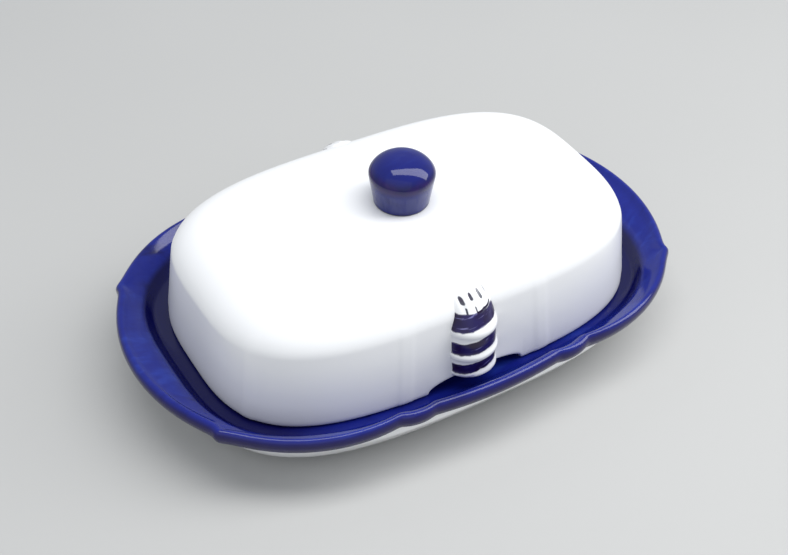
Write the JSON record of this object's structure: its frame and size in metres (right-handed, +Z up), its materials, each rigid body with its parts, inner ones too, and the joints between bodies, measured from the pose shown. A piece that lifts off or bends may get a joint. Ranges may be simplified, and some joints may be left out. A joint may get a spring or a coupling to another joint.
{
  "type": "butter dish",
  "caption": "Ceramic butter dish: scalloped oval tray with a loose domed lid, its round knob and painted relief columns.",
  "frame": {"origin": "the middle of the foot ring, on the surface that the dish stands on", "axes": "+X along the dish's long side, +Z up; the two reliefs are at the middle of the -Y and +Y sides"},
  "size_m": [0.203, 0.1336, 0.0736],
  "materials": {
    "tray_glaze": "glossy cobalt blue glaze above, glossy white glaze beneath",
    "lid_glaze": "glossy white glaze",
    "knob_glaze": "glossy cobalt blue glaze",
    "relief_glaze": "glossy white glaze with hand-painted cobalt bands"
  },
  "bodies": {
    "tray": {"tray": "tray_glaze"},
    "lid": {"lid_shell": "lid_glaze", "knob": "knob_glaze", "front_relief": "relief_glaze", "back_relief": "relief_glaze"}
  },
  "joints": [
    {"name": "lid_lift", "type": "slide", "parent": "tray", "child": "lid", "axis": [0, 0, 1], "range_m": [0, 0.12]}
  ]
}
